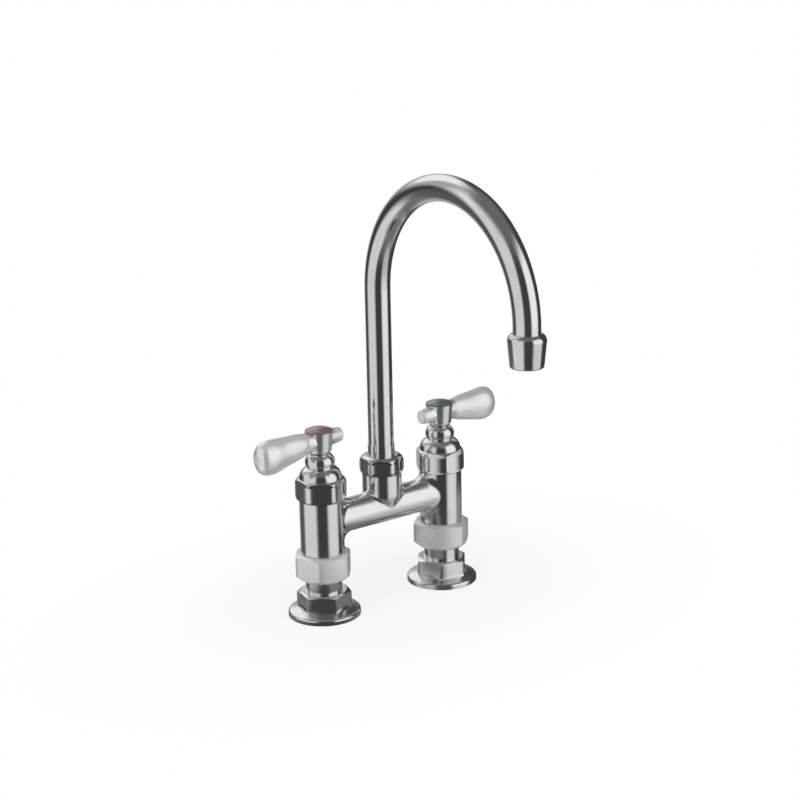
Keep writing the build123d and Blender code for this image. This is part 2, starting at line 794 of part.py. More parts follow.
# Flow straightener: cup with rings of small holes in its floor
with BuildPart() as flow_straightener:
    cup_r = shell_bore_r - running_gap
    with Locations((0, -spout_reach, straightener_z)):
        Cylinder(cup_r, outlet_washer_z - straightener_z, align=standing)
    with Locations((0, -spout_reach, straightener_z + straightener_web)):
        Cylinder(
            cup_r - straightener_wall,
            outlet_washer_z - straightener_z - straightener_web,
            align=standing,
            mode=Mode.SUBTRACT,
        )
    with BuildSketch(Plane.XY.offset(straightener_z)):
        with Locations((0, -spout_reach)):
            for ring_r, holes in straightener_rings:
                with PolarLocations(ring_r, holes):
                    Circle(straightener_hole_r)
    extrude(amount=straightener_web, mode=Mode.SUBTRACT)
flow_straightener.part.label = "flow_straightener"

pieces = {
    "bridge_body": bridge_body.part,
    "spout_ferrule": spout_ferrule.part,
    "gooseneck": gooseneck.part,
    "spout_nut": spout_nut.part,
    "spout_glide_washer": flat_ring(
        0, spout_seat_z, ferrule_z, ferrule_flange_r, shank_r + glide_washer_gap
    ),
    "spout_o_rings": o_rings(
        0,
        [ferrule_z - drop for drop in spout_ring_drops],
        shank_r - 2 * spout_ring_wire,
        spout_ring_wire,
    ),
    "outlet_housing": outlet_housing.part,
    "outlet_shell": outlet_shell.part,
    "flow_straightener": flow_straightener.part,
    "outlet_washer": flat_ring(
        0,
        outlet_washer_z,
        outlet_washer_z + outlet_washer_thick,
        shell_r,
        shell_r - outlet_washer_wall,
        y=-spout_reach,
    ),
}

# Each side: place, direction of opening, turn of its hexagons and direction of its lever
sides = {
    "hot": (-valve_x, 1, hot_inlet_turn, hot_nut_turn, hot_bonnet_turn, hot_lever_angle),
    "cold": (valve_x, -1, cold_inlet_turn, cold_nut_turn, cold_bonnet_turn, cold_lever_angle),
}
for side, (x, opening, inlet_turn, nut_turn, bonnet_turn, lever_angle) in sides.items():
    foot_at = -opening * quarter_turn / 2
    pieces[side + "_inlet_flange"] = inlet_flange(x, inlet_turn)
    pieces[side + "_coupling_nut"] = coupling_nut(x, nut_turn)
    pieces[side + "_snap_ring"] = flat_ring(
        x, lip_top_z, snap_ring_top_z, snap_ring_r, neck_r - snap_ring_depth, snap_ring_mouth
    )
    pieces[side + "_coupling_washer"] = flat_ring(
        x, neck_top_z, coupling_z, coupling_thread_r - coupling_washer_gap, waterway_r
    )
    pieces[side + "_bonnet"] = valve_bonnet(x, bonnet_turn)
    pieces[side + "_cartridge_barrel"] = cartridge_barrel(x)
    pieces[side + "_barrel_o_ring"] = o_rings(
        x, [chamber_top_z - barrel_ring_drop], barrel_land_r - 2 * barrel_ring_wire, barrel_ring_wire
    )
    pieces[side + "_seat_seal"] = flat_ring(
        x, seat_z, fixed_disc_z, barrel_bore_r - seat_seal_gap, seat_port_r
    )
    pieces[side + "_fixed_disc"] = fixed_disc(x, foot_at + port_turn + opening * quarter_turn)
    pieces[side + "_moving_disc"] = moving_disc(x, foot_at)
    pieces[side + "_thrust_washer"] = flat_ring(
        x, barrel_shoulder_z - thrust_washer_thick, barrel_shoulder_z, stop_rib_r, stem_r + crown_gap
    )
    pieces[side + "_stem"] = cartridge_stem(x, foot_at)
    pieces[side + "_stem_o_rings"] = o_rings(
        x,
        [barrel_top_z - drop for drop in stem_ring_drops],
        stem_r - 2 * stem_ring_wire,
        stem_ring_wire,
    )
    pieces[side + "_stem_clip"] = flat_ring(
        x, clip_z, clip_z + clip_thick, clip_r, stem_r - clip_depth, clip_mouth
    )
    pieces[side + "_lever_handle"] = lever_handle(x, lever_angle)
    pieces[side + "_handle_screw"] = handle_screw(x)
    pieces[side + "_index_cap"] = index_cap(x)

os.makedirs("parts", exist_ok=True)
for name, piece in pieces.items():
    piece.label = name
    export_step(piece, "parts/" + name + ".step")
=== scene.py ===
"""Finishes and studio for a two-handle bridge mixer tap.

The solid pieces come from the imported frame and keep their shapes. This script gives each of them
its finish, adds the inlets' threads, which the solids leave plain, and sets up the studio and the
camera.
"""

import json
from math import cos, pi, radians, sin
from typing import NamedTuple

import bmesh
import bpy
from bpy.props import FloatProperty, FloatVectorProperty, IntProperty, PointerProperty
from mathutils import Matrix, Vector


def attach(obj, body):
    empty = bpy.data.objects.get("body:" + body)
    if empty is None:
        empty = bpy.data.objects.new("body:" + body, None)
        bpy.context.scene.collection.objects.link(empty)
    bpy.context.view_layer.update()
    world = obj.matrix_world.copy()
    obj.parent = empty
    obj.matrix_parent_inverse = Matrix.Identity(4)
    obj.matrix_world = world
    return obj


bl_info = {
    "name": "Bridge mixer tap",
    "version": (1, 0, 0),
    "blender": (4, 5, 0),
    "location": "View3D > Sidebar > Tap",
    "description": "Finishes, threads and studio for a bridge mixer tap",
    "category": "Object",
}

MM = 0.001

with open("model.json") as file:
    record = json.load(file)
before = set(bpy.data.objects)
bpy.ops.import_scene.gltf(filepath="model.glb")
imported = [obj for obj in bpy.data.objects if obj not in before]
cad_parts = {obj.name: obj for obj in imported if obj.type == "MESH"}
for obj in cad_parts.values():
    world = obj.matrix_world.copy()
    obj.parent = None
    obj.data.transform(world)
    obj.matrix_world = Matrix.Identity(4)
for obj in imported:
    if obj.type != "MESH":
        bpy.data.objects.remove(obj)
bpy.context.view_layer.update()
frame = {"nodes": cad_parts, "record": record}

SIDES = ("hot", "cold")
SPOUT_TUBE = ("gooseneck", "spout_ferrule", "outlet_housing")

# Colours of the parts inside
CERAMIC = (0.86, 0.86, 0.84)
RUBBER = (0.025, 0.025, 0.026)
SPRING_STEEL = (0.52, 0.52, 0.53)
STRAIGHTENER_PLASTIC = (0.78, 0.78, 0.76)
WASHER_PLASTIC = (0.80, 0.80, 0.77)

# Roughness of the drawn tube and of the inlet flanges, as shares of the castings'
TUBE_ROUGHNESS = 0.8
FLANGE_ROUGHNESS = 1.3

# Height of the relief of hand polishing, and of grain and lathe lines
WAVE_HEIGHT = 0.4 * MM
GRAIN_HEIGHT = 0.1 * MM


class Hexagon(NamedTuple):
    """Radius to a corner, and the ends of the flats above the foot of the piece."""

    corner_r: float
    low: float
    high: float


HEXAGONS = {
    "bonnet": Hexagon(corner_r=17.3 * MM, low=1.5 * MM, high=12.2 * MM),
    "spout_nut": Hexagon(corner_r=15.2 * MM, low=2.0 * MM, high=8.6 * MM),
    "inlet_flange": Hexagon(corner_r=18.7 * MM, low=5.8 * MM, high=15.6 * MM),
    "coupling_nut": Hexagon(corner_r=20.2 * MM, low=3.0 * MM, high=16.6 * MM),
}
# Along a flat: slope of its swell at a corner, extra slope round the corner, and the width of that
FLAT_SWELL = 0.17
CORNER_TURN = 0.27
CORNER_EASE = 0.8 * MM
# Half the length over which that relief fades at each end of a flat
FLAT_FADE = 0.5 * MM

# Hub of a lever: polished up to the first radius and satin like the paddle from the second; then
# how far the polished part shades as bare metal, and how much less rough it is
HUB_POLISHED = 9.0 * MM
HUB_REACH = 15.0 * MM
HUB_METAL = 0.92
HUB_SMOOTHER = 0.1

# Ridge of a thread: half its width as a share of the pitch, and its share of the depth at each end
RIDGE_HALF = 0.42
RIDGE_END = 0.15


class Panel(NamedTuple):
    """A panel of light far off, as the metal sees it.

    Its heading, half width and soft edge are in degrees. Its foot and its top each fade between
    two heights, which run from -1 straight down to 1 straight up.
    """

    heading: float
    half_width: float
    edge: float
    foot: tuple
    top: tuple


GROUNDED = (-0.95, -0.7)
LEFT_PANEL = Panel(heading=173.0, half_width=36.0, edge=10.0, foot=GROUNDED, top=(0.45, 0.9))
RIGHT_PANEL = Panel(heading=-61.0, half_width=28.0, edge=11.0, foot=GROUNDED, top=(0.5, 0.88))
BACKDROP = Panel(heading=69.0, half_width=19.0, edge=9.0, foot=GROUNDED, top=(0.3, 0.8))
GLOW = Panel(heading=82.0, half_width=22.0, edge=10.0, foot=(0.2, 0.5), top=(0.75, 1.0))
HAZE = Panel(heading=117.0, half_width=23.0, edge=12.0, foot=(0.05, 0.3), top=(0.75, 1.0))
WASH = Panel(heading=125.0, half_width=22.0, edge=14.0, foot=GROUNDED, top=(-0.35, -0.1))
# Share of its light that the right panel has at its foot, and the heights where it gains the rest
RIGHT_FOOT = 0.35
RIGHT_CLIMB = (-0.75, 0.1)
# Heights where the light from the ground fades out and the light from the ceiling fades in
GROUND_FADE = (-0.9, -0.5)
CEILING_FADE = (0.45, 0.9)
# Added to the square of a ray's level part, so that its heading stays defined straight up and down
LEAST_LEVEL = 0.0001

# Greys of the floor: lit, then the painted shade that the inlets reflect, then the darker painted
# core of that shade
FLOOR_MATT = 0.92
FLOOR_PAINTED_SHADE = 0.24
FLOOR_PAINTED_CORE = 0.065
# Where the core and the shade start and end their fade, as shares of the shade's reach
CORE_FADE = (0.2, 0.45)
SHADE_FADE = (0.5, 1.0)
# Share of lamp-lit matt floor that the metal sees in the middle of the lit patch, which is painted
# light in the reflections, and where it fades
GLARE = 0.3
GLARE_FADE = (0.04, 0.1)
# Share of plain white in the floor under the tap, and the distances over which it grows to all
# white, where a distance to either side counts for less
FLOOR_WHITE = 0.75
WHITE_FADE = (0.05, 0.2)
SIDEWAYS = 0.45

LAMP_SIDE = 1.4
LAMP_AT = Vector((-0.4, -0.5, 1.5))
LAMP_AIM = Vector((0.0, 0.0, 0.1))

SENSOR_WIDTH_MM = 36.0
CLIP_START = 0.05


def both(*names):
    """The hot and the cold node of each name."""
    return tuple(side + "_" + name for side in SIDES for name in names)


def without_side(piece):
    """The name that a hot and a cold piece share, or a middle piece's own."""
    side, _, rest = piece.partition("_")
    return rest if side in SIDES else piece


def grey(level):
    """A grey with its alpha."""
    return (level, level, level, 1.0)


def rgba(colour, level=1.0):
    """A colour with its alpha, made darker by level."""
    return tuple(part * level for part in colour[:3]) + (1.0,)


class Signal:
    """One socket of a shader; arithmetic on it adds the Math nodes that work it out."""

    def __init__(self, shader, socket):
        self.shader = shader
        self.socket = socket

    def math(self, operation, *terms):
        return self.shader.add("ShaderNodeMath", {"operation": operation}, dict(enumerate(terms)))

    def __add__(self, other):
        return self.math("ADD", self, other)

    __radd__ = __add__

    def __sub__(self, other):
        return self.math("SUBTRACT", self, other)

    def __rsub__(self, other):
        return self.math("SUBTRACT", other, self)

    def __mul__(self, other):
        return self.math("MULTIPLY", self, other)

    __rmul__ = __mul__

    def __truediv__(self, other):
        return self.math("DIVIDE", self, other)

    def root(self):
        return self.math("SQRT", self)

    def above_zero(self):
        return self.math("MAXIMUM", self, 0.0)

    def between(self, low, high):
        """0 below low, 1 above high and a smooth step from one to the other."""
        settings = {"interpolation_type": "SMOOTHSTEP"}
        inputs = {"Value": self, "From Min": low, "From Max": high}
        return self.shader.add("ShaderNodeMapRange", settings, inputs)


class Shader:
    """The node tree of one material or world."""

    def __init__(self, owner):
        owner.use_nodes = True
        self.tree = owner.node_tree
        self.tree.nodes.clear()

    def add(self, kind, settings=None, inputs=None, output=0):
        """Adds a node with its settings, then sets or links its inputs, and gives one output."""
        node = self.tree.nodes.new(kind)
        for name, value in (settings or {}).items():
            setattr(node, name, value)
        for name, value in (inputs or {}).items():
            if isinstance(value, Signal):
                self.tree.links.new(value.socket, node.inputs[name])
            else:
                node.inputs[name].default_value = value
        return Signal(self, node.outputs[output]) if len(node.outputs) else None

    def place(self):
        """Positions on the object."""
        return self.add("ShaderNodeTexCoord", output="Object")

    def split(self, vector):
        """The three parts of a vector."""
        inputs = {0: vector}
        return [self.add("ShaderNodeSeparateXYZ", None, inputs, axis) for axis in range(3)]

    def distance(self, point):
        """Distance on the object from the upright line through a point."""
        east, north, _ = self.split(self.place())
        aside, ahead = east - point[0], north - point[1]
        return (aside * aside + ahead * ahead).root()

    def ray(self, kind):
        """1 for rays of this kind, as Light Path names them, and 0 for the rest."""
        return self.add("ShaderNodeLightPath", output="Is " + kind + " Ray")

    def stretched(self, scale):
        """Positions on the object, stretched along each axis."""
        return self.add("ShaderNodeMapping", None, {"Vector": self.place(), "Scale": scale})

    def noise(self, scale, detail, vector=None):
        """Even noise from 0 to 1; scale is in features for each metre."""
        inputs = {"Vector": vector or self.place(), "Scale": scale, "Detail": detail}
        return self.add("ShaderNodeTexNoise", None, inputs)

    def mix(self, factor, first, second):
        """One colour fading into another."""
        settings = {"data_type": "RGBA"}
        return self.add("ShaderNodeMix", settings, {0: factor, 6: first, 7: second}, output=2)

    def blend(self, factor, first, second):
        """One finished shader fading into another."""
        return self.add("ShaderNodeMixShader", None, {0: factor, 1: first, 2: second})

    def matt(self, level):
        """A matt grey shader."""
        return self.add("ShaderNodeBsdfDiffuse", None, {"Color": grey(level)})

    def relief(self, height, strength, depth, under=None):
        """A bumped normal on top of the one under it; a height of 1 stands depth metres proud."""
        inputs = {"Height": height, "Strength": strength, "Distance": depth}
        if under:
            inputs["Normal"] = under
        return self.add("ShaderNodeBump", None, inputs)

    def polished_flats(self, piece):
        """The normal of hand-polished flats, which swell in the middle and ease round corners."""
        hexagon = HEXAGONS[without_side(piece)]
        box = [Vector(corner) for corner in frame["nodes"][piece].bound_box]
        middle = sum(box, Vector()) / len(box)
        foot = min(corner.z for corner in box)
        distance = self.distance(middle)
        corner = (distance - (hexagon.corner_r - CORNER_EASE)).above_zero()
        swell = distance * distance * (FLAT_SWELL / hexagon.corner_r)
        turn = corner * corner * (CORNER_TURN / CORNER_EASE)
        rise = self.split(self.place())[2]
        low, high = foot + hexagon.low, foot + hexagon.high
        after = rise.between(low - FLAT_FADE, low + FLAT_FADE)
        until = 1.0 - rise.between(high - FLAT_FADE, high + FLAT_FADE)
        return self.relief(0.0 - swell - turn, after * until, 1.0)

    def surface(self, **inputs):
        """The finished surface; an input's name has _ for each space."""
        named = {name.replace("_", " ").title(): value for name, value in inputs.items()}
        shader = self.add("ShaderNodeBsdfPrincipled", None, named)
        self.add("ShaderNodeOutputMaterial", None, {"Surface": shader})


def new_shader(name):
    """A new material and its node tree."""
    material = bpy.data.materials.new(name)
    return material, Shader(material)


def plated(name, colour, roughness, smears, waviness, piece=None):
    """Bright plating: faint smears in the gloss and a slow waviness from hand polishing.

    A piece that has a hexagon is named, so that its flats get their swell.
    """
    material, shader = new_shader(name)
    flats = shader.polished_flats(piece) if piece else None
    smear = shader.noise(70.0, detail=5.0).between(0.42, 0.78)
    fine = shader.noise(900.0, detail=2.0)
    waves = shader.noise(160.0, detail=1.5)
    shader.surface(
        base_color=shader.mix(smear, rgba(colour), rgba(colour, level=0.95)),
        metallic=1.0,
        roughness=roughness + smears * smear + 0.02 * fine,
        normal=shader.relief(waves, waviness, WAVE_HEIGHT, flats),
    )
    return material


def satin(name, colour, roughness, metallic, axis):
    """Thin plating on a blasted casting, with a satin paddle and a polished hub round its axis."""
    material, shader = new_shader(name)
    cloud = shader.noise(55.0, detail=4.0)
    grain = shader.noise(2400.0, detail=2.0)
    hub = 1.0 - shader.distance(axis).between(HUB_POLISHED, HUB_REACH)
    shader.surface(
        base_color=shader.mix(cloud.between(0.3, 0.75), rgba(colour), rgba(colour, level=0.96)),
        metallic=metallic + (HUB_METAL - metallic) * hub,
        roughness=roughness + 0.06 * cloud + 0.03 * grain - HUB_SMOOTHER * hub,
        normal=shader.relief(grain, 0.05, GRAIN_HEIGHT),
    )
    return material


def turned(name, colour, roughness, line_strength, metallic=1.0, piece=None):
    """Metal left off the lathe: fine rings round an upright axis, seen in gloss and relief.

    A piece that has a hexagon is named, so that its flats get their swell.
    """
    material, shader = new_shader(name)
    flats = shader.polished_flats(piece) if piece else None
    rings = shader.noise(1.0, detail=2.0, vector=shader.stretched((30.0, 30.0, 5200.0)))
    cloud = shader.noise(60.0, detail=4.0)
    shader.surface(
        base_color=shader.mix(cloud.between(0.35, 0.7), rgba(colour), rgba(colour, level=0.9)),
        metallic=metallic,
        roughness=roughness + 0.1 * rings + 0.06 * cloud,
        normal=shader.relief(rings, line_strength, GRAIN_HEIGHT, flats),
    )
    return material


def moulded(name, colour, roughness, grain, coat=0.0):
    """Plastic, rubber or ceramic with a fine skin, and a clear coat where it is glazed."""
    material, shader = new_shader(name)
    cloud = shader.noise(180.0, detail=4.0)
    skin = shader.noise(2600.0, detail=2.0)
    shader.surface(
        base_color=shader.mix(cloud.between(0.3, 0.75), rgba(colour), rgba(colour, level=0.86)),
        roughness=roughness + 0.08 * cloud,
        coat_weight=coat,
        coat_roughness=0.06,
        normal=shader.relief(skin, grain, GRAIN_HEIGHT),
    )
    return material


def finish(material, *nodes):
    """Puts one material on every face of these nodes."""
    for name in nodes:
        node = frame["nodes"][name]
        if not node.material_slots:
            node.data.materials.append(material)
        for slot in node.material_slots:
            slot.material = material


def new_piece(name, built, material):
    """A piece from a finished bmesh, in the place where it was built."""
    data = bpy.data.meshes.new(name)
    built.to_mesh(data)
    built.free()
    data.materials.append(material)
    piece = bpy.data.objects.new(name, data)
    bpy.context.scene.collection.objects.link(piece)
    return piece


class TapFinishes(bpy.types.PropertyGroup):
    """Colours and gloss of the finishes."""

    plating: FloatVectorProperty(
        name="Plating", description="Colour of the bright plating", subtype="COLOR",
        default=(0.80, 0.80, 0.81), min=0.0, max=1.0,
    )
    plating_roughness: FloatProperty(
        name="Plating roughness", description="For the castings; spout and flanges follow it",
        subtype="FACTOR", default=0.1, min=0.0, max=1.0,
    )
    lever: FloatVectorProperty(
        name="Lever", description="Colour of the levers' plating", subtype="COLOR",
        default=(0.88, 0.90, 0.90), min=0.0, max=1.0,
    )
    lever_roughness: FloatProperty(
        name="Lever roughness", description="Softer gloss of the cast levers",
        subtype="FACTOR", default=0.24, min=0.0, max=1.0,
    )
    lever_metal: FloatProperty(
        name="Lever metal", description="How far the levers shade as bare metal",
        subtype="FACTOR", default=0.6, min=0.0, max=1.0,
    )
    nut: FloatVectorProperty(
        name="Nut plating", description="Colour of the coupling nuts", subtype="COLOR",
        default=(0.86, 0.86, 0.85), min=0.0, max=1.0,
    )
    nut_roughness: FloatProperty(
        name="Nut roughness", description="Gloss of the coupling nuts",
        subtype="FACTOR", default=0.3, min=0.0, max=1.0,
    )
    nut_metal: FloatProperty(
        name="Nut metal", description="How far the coupling nuts shade as bare metal",
        subtype="FACTOR", default=0.6, min=0.0, max=1.0,
    )
    nickel: FloatVectorProperty(
        name="Nickel", description="Colour of the stems' plating", subtype="COLOR",
        default=(0.66, 0.64, 0.60), min=0.0, max=1.0,
    )
    brass: FloatVectorProperty(
        name="Brass", description="Colour of the bare brass inside", subtype="COLOR",
        default=(0.72, 0.52, 0.25), min=0.0, max=1.0,
    )
    hot_index: FloatVectorProperty(
        name="Hot index", description="Colour of the hot cap", subtype="COLOR",
        default=(0.21, 0.11, 0.11), min=0.0, max=1.0,
    )
    cold_index: FloatVectorProperty(
        name="Cold index", description="Colour of the cold cap", subtype="COLOR",
        default=(0.08, 0.115, 0.125), min=0.0, max=1.0,
    )


class TapThread(bpy.types.PropertyGroup):
    """The thread in each inlet."""

    pitch: FloatProperty(
        name="Pitch", description="Distance from one turn to the next", subtype="DISTANCE",
        unit="LENGTH", default=1.814 * MM, min=0.5 * MM,
    )
    depth: FloatProperty(
        name="Depth", description="How far the ridge stands out of the wall", subtype="DISTANCE",
        unit="LENGTH", default=0.4 * MM, min=0.1 * MM,
    )
    run_out: FloatProperty(
        name="Run-out", description="Plain length at each end of the hole", subtype="DISTANCE",
        unit="LENGTH", default=1.2 * MM, min=0.0,
    )
    steps: IntProperty(
        name="Steps", description="Segments in one turn", default=48, min=12,
    )


class TapStudio(bpy.types.PropertyGroup):
    """Camera, floor and light."""

    camera: FloatVectorProperty(
        name="Camera", description="Place of the camera", subtype="TRANSLATION", unit="LENGTH",
        default=(-0.68241, -0.94431, 0.47055),
    )
    azimuth: FloatProperty(
        name="Azimuth", description="Heading of the camera", subtype="ANGLE",
        default=radians(-36.52),
    )
    elevation: FloatProperty(
        name="Elevation", description="How far the camera looks down", subtype="ANGLE",
        default=radians(15.78),
    )
    roll: FloatProperty(
        name="Roll", description="Tilt of the camera to its side", subtype="ANGLE",
        default=radians(-1.17),
    )
    focal_length: FloatProperty(
        name="Focal length", description="For a sensor 36 mm wide", subtype="DISTANCE_CAMERA",
        default=80.194, min=10.0,
    )
    floor: FloatProperty(
        name="Floor", description="Side of the square floor", subtype="DISTANCE", unit="LENGTH",
        default=6.0, min=0.5,
    )
    # Where the painted shade and its darker painted core lie on the floor, and below, their reach;
    # only the metal's reflections see them
    shade_at: FloatVectorProperty(
        name="Shade at", description="Middle of the shade that the inlets reflect", size=2,
        subtype="XYZ", unit="LENGTH", default=(-0.055, -0.03),
    )
    core_at: FloatVectorProperty(
        name="Core at", description="Middle of the darkest part of that shade", size=2,
        subtype="XYZ", unit="LENGTH", default=(-0.079, -0.043),
    )
    # Middle of a painted pool of light: lamp-lit floor that only the metal's reflections see, and
    # only there
    glare_at: FloatVectorProperty(
        name="Glare at", description="Middle of the lit floor that the cold side reflects", size=2,
        subtype="XYZ", unit="LENGTH", default=(0.2, -0.03),
    )
    shade: FloatProperty(
        name="Shade", description="Reach of the shade that the inlets reflect",
        subtype="DISTANCE", unit="LENGTH", default=0.11, min=0.0,
    )
    left_panel: FloatProperty(
        name="Left panel", description="Brightness of the panel to the left of the camera",
        default=0.68, min=0.0,
    )
    right_panel: FloatProperty(
        name="Right panel", description="Brightness of the panel to the right of the camera",
        default=1.1, min=0.0,
    )
    backdrop: FloatProperty(
        name="Backdrop", description="Brightness of the backdrop where the metal reflects it",
        default=0.38, min=0.0,
    )
    glow: FloatProperty(
        name="Glow", description="Brightness of the room's light above and behind the tap",
        default=0.9, min=0.0,
    )
    haze: FloatProperty(
        name="Haze", description="Brightness of the room's light to the left of the glow",
        default=0.38, min=0.0,
    )
    wash: FloatProperty(
        name="Wash", description="Brightness of the low light under the haze",
        default=0.06, min=0.0,
    )
    ground: FloatProperty(
        name="Ground", description="Brightness that the metal reflects from straight below",
        default=0.12, min=0.0,
    )
    ceiling: FloatProperty(
        name="Ceiling", description="Brightness that the metal reflects from overhead",
        default=0.1, min=0.0,
    )
    dark: FloatProperty(
        name="Dark", description="Brightness of the unlit studio between the panels",
        default=0.052, min=0.0,
    )
    fill: FloatProperty(
        name="Fill", description="Level of the plain light from all round", default=0.62, min=0.0,
    )
    lamp: FloatProperty(
        name="Lamp", description="Power of the soft lamp overhead", subtype="POWER", unit="POWER",
        default=11.0, min=0.0,
    )


class TAP_OT_castings(bpy.types.Operator):
    """Bright plating on the bridge body, the bonnets and the spout nut"""

    bl_idname = "tap.castings"
    bl_label = "Castings"

    def execute(self, context):
        looks = context.scene.tap_finishes
        gloss = {"roughness": looks.plating_roughness, "smears": 0.05, "waviness": 0.05}
        finish(plated("bright_plating", looks.plating, **gloss), "bridge_body")
        for piece in ("spout_nut", *both("bonnet")):
            finish(plated(piece + "_plating", looks.plating, piece=piece, **gloss), piece)
        return {"FINISHED"}


class TAP_OT_spout(bpy.types.Operator):
    """Bright plating on the spout, and the parts inside its outlet"""

    bl_idname = "tap.spout"
    bl_label = "Spout"

    def execute(self, context):
        looks = context.scene.tap_finishes
        roughness = looks.plating_roughness * TUBE_ROUGHNESS
        tube = plated("tube_plating", looks.plating, roughness, smears=0.04, waviness=0.02)
        brass = turned("outlet_brass", looks.brass, roughness=0.2, line_strength=0.2)
        plastic = moulded("straightener_plastic", STRAIGHTENER_PLASTIC, roughness=0.4, grain=0.1)
        finish(tube, *SPOUT_TUBE)
        finish(brass, "outlet_shell")
        finish(plastic, "flow_straightener")
        return {"FINISHED"}


class TAP_OT_inlets(bpy.types.Operator):
    """Bright plating on the inlet flanges"""

    bl_idname = "tap.inlets"
    bl_label = "Inlets"

    def execute(self, context):
        looks = context.scene.tap_finishes
        roughness = looks.plating_roughness * FLANGE_ROUGHNESS
        gloss = {"roughness": roughness, "smears": 0.06, "waviness": 0.08}
        for piece in both("inlet_flange"):
            finish(plated(piece + "_plating", looks.plating, piece=piece, **gloss), piece)
        return {"FINISHED"}


class TAP_OT_coupling_nuts(bpy.types.Operator):
    """Satin plating with lathe lines on the coupling nuts"""

    bl_idname = "tap.coupling_nuts"
    bl_label = "Coupling nuts"

    def execute(self, context):
        looks = context.scene.tap_finishes
        gloss = {"roughness": looks.nut_roughness, "line_strength": 0.12}
        gloss["metallic"] = looks.nut_metal
        for piece in both("coupling_nut"):
            finish(turned(piece + "_plating", looks.nut, piece=piece, **gloss), piece)
        return {"FINISHED"}


class TAP_OT_levers(bpy.types.Operator):
    """Softly reflecting plating on the levers, and the coloured caps on top of them"""

    bl_idname = "tap.levers"
    bl_label = "Levers and caps"

    def execute(self, context):
        looks = context.scene.tap_finishes
        plating = (looks.lever, looks.lever_roughness, looks.lever_metal)
        joints = {joint["name"]: joint for joint in frame["record"]["behaviour"]["joints"]}
        for side in SIDES:
            piece = side + "_lever_handle"
            pivot = Vector(joints[side + "_valve"]["pos_m"])
            axis = frame["nodes"][piece].matrix_world.inverted() @ pivot
            finish(satin(piece + "_plating", *plating, axis), piece)
        gloss = {"roughness": 0.25, "grain": 0.04, "coat": 1.0}
        finish(moulded("hot_cap_plastic", looks.hot_index, **gloss), "hot_index_cap")
        finish(moulded("cold_cap_plastic", looks.cold_index, **gloss), "cold_index_cap")
        return {"FINISHED"}


class TAP_OT_cartridges(bpy.types.Operator):
    """Brass, nickel, ceramic, rubber, plastic and spring steel of the parts inside"""

    bl_idname = "tap.cartridges"
    bl_label = "Cartridges and seals"

    def execute(self, context):
        looks = context.scene.tap_finishes
        brass = turned("machined_brass", looks.brass, roughness=0.22, line_strength=0.3)
        nickel = turned("nickel_plating", looks.nickel, roughness=0.25, line_strength=0.2)
        ceramic = moulded("lapped_ceramic", CERAMIC, roughness=0.1, grain=0.01, coat=0.6)
        rubber = moulded("black_rubber", RUBBER, roughness=0.55, grain=0.3)
        plastic = moulded("washer_plastic", WASHER_PLASTIC, roughness=0.45, grain=0.1)
        steel = turned("spring_steel", SPRING_STEEL, roughness=0.28, line_strength=0.15)
        finish(brass, *both("cartridge_barrel"))
        finish(nickel, *both("stem"))
        finish(ceramic, *both("fixed_disc", "moving_disc"))
        finish(rubber, *both("stem_o_rings", "barrel_o_ring", "seat_seal", "coupling_washer"))
        finish(rubber, "spout_o_rings", "outlet_washer")
        finish(plastic, "spout_glide_washer", *both("thrust_washer"))
        finish(steel, *both("stem_clip", "snap_ring", "handle_screw"))
        return {"FINISHED"}


class TAP_OT_inlet_threads(bpy.types.Operator):
    """A helical ridge in each inlet, with a plain run-out at both ends of the hole"""

    bl_idname = "tap.inlet_threads"
    bl_label = "Inlet threads"

    def execute(self, context):
        thread = context.scene.tap_thread
        looks = context.scene.tap_finishes
        metal = turned("thread_brass", looks.brass, roughness=0.25, line_strength=0.1)
        mounts = {mount["name"]: mount for mount in frame["record"]["mounts"]}
        for side in SIDES:
            hole = mounts[side + "_inlet"]
            ridge = self.ridge(thread, Vector(hole["pos_m"]), hole["dims"])
            piece = new_piece(side + "_inlet_thread", ridge, metal)
            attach(piece, "body")
        return {"FINISHED"}

    def ridge(self, thread, centre, dims):
        """A closed strip of triangular section, wound inside the wall."""
        wall_r = dims["r_mm"] * MM
        length = dims["length_mm"] * MM - 2 * thread.run_out
        start = centre.z - length / 2
        turns = length / thread.pitch
        count = int(turns * thread.steps)
        half = thread.pitch * RIDGE_HALF
        mesh = bmesh.new()
        rings = []
        for step in range(count + 1):
            share = step / count
            turn = 2 * pi * turns * share
            fade = min(1.0, step / thread.steps, (count - step) / thread.steps)
            crest = wall_r - thread.depth * (RIDGE_END + (1.0 - RIDGE_END) * fade)
            z = start + length * share
            outline = ((wall_r, z - half), (crest, z), (wall_r, z + half))
            ring = [
                mesh.verts.new((centre.x + r * cos(turn), centre.y + r * sin(turn), level))
                for r, level in outline
            ]
            rings.append(ring)
        for lower, upper in zip(rings, rings[1:]):
            for side in range(3):
                after = (side + 1) % 3
                mesh.faces.new((lower[side], lower[after], upper[after], upper[side]))
        mesh.faces.new(reversed(rings[0]))
        mesh.faces.new(rings[-1])
        bmesh.ops.recalc_face_normals(mesh, faces=mesh.faces)
        return mesh


